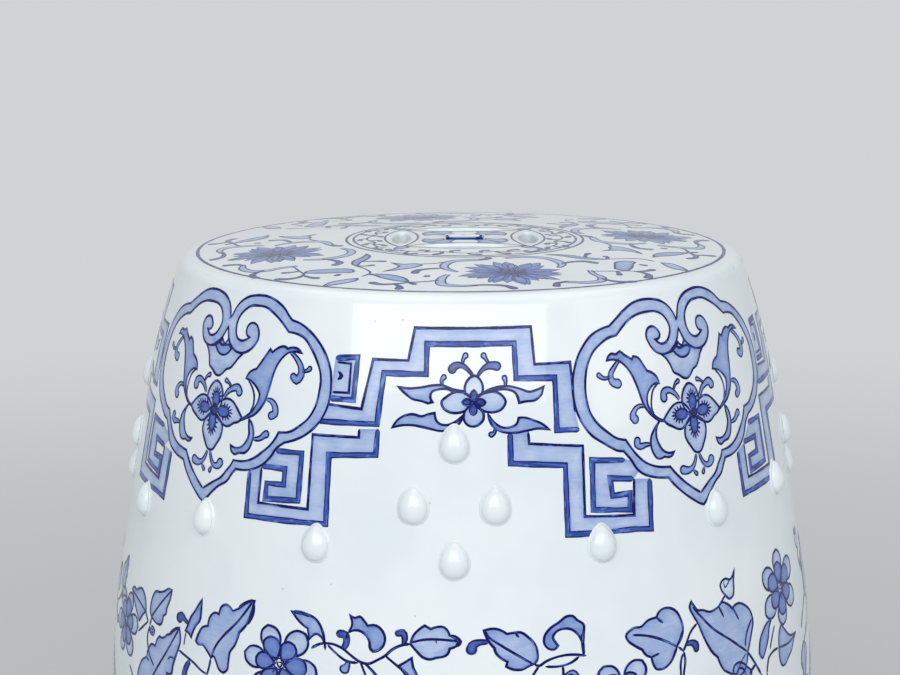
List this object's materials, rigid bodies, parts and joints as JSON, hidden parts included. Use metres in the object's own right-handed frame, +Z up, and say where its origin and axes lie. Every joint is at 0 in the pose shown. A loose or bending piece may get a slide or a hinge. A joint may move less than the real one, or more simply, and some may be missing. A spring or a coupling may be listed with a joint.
{
  "type": "ceramic garden stool",
  "caption": "Hollow drum-shaped porcelain garden stool with a pierced coin top, painted panels and applied drops round its body.",
  "frame": {"origin": "centre of the foot, on the floor", "axes": "+Z up, front of the stool towards -Y, side hand holds on +X and -X"},
  "size_m": [0.3518, 0.352, 0.4625],
  "materials": {
    "glazed_porcelain": "glossy clear glaze over white porcelain, painted in cobalt blue under the glaze",
    "bare_biscuit": "unglazed fired clay, fine and matt",
    "luting_clay": "unglazed fired clay coil, smeared by hand"
  },
  "bodies": {
    "root": {"upper_shell": "glazed_porcelain", "lower_shell": "glazed_porcelain", "seat_slab": "glazed_porcelain", "base_ring": "bare_biscuit", "seat_luting_coil": "luting_clay", "base_luting_coil": "luting_clay", "front_waist_coil": "luting_clay", "rear_waist_coil": "luting_clay", "upper_drop_01": "glazed_porcelain", "upper_drop_02": "glazed_porcelain", "upper_drop_03": "glazed_porcelain", "upper_drop_04": "glazed_porcelain", "upper_drop_05": "glazed_porcelain", "upper_drop_06": "glazed_porcelain", "upper_drop_07": "glazed_porcelain", "upper_drop_08": "glazed_porcelain", "upper_drop_09": "glazed_porcelain", "upper_drop_10": "glazed_porcelain", "upper_drop_11": "glazed_porcelain", "upper_drop_12": "glazed_porcelain", "upper_drop_13": "glazed_porcelain", "upper_drop_14": "glazed_porcelain", "upper_drop_15": "glazed_porcelain", "upper_drop_16": "glazed_porcelain", "upper_cluster_front": "glazed_porcelain", "upper_cluster_right": "glazed_porcelain", "upper_cluster_rear": "glazed_porcelain", "upper_cluster_left": "glazed_porcelain", "lower_drop_01": "glazed_porcelain", "lower_drop_02": "glazed_porcelain", "lower_drop_03": "glazed_porcelain", "lower_drop_04": "glazed_porcelain", "lower_drop_05": "glazed_porcelain", "lower_drop_06": "glazed_porcelain", "lower_drop_07": "glazed_porcelain", "lower_drop_08": "glazed_porcelain", "lower_drop_09": "glazed_porcelain", "lower_drop_10": "glazed_porcelain", "lower_drop_11": "glazed_porcelain", "lower_drop_12": "glazed_porcelain", "lower_drop_13": "glazed_porcelain", "lower_drop_14": "glazed_porcelain", "lower_drop_15": "glazed_porcelain", "lower_drop_16": "glazed_porcelain", "lower_cluster_front": "glazed_porcelain", "lower_cluster_right": "glazed_porcelain", "lower_cluster_rear": "glazed_porcelain", "lower_cluster_left": "glazed_porcelain"}
  },
  "joints": []
}
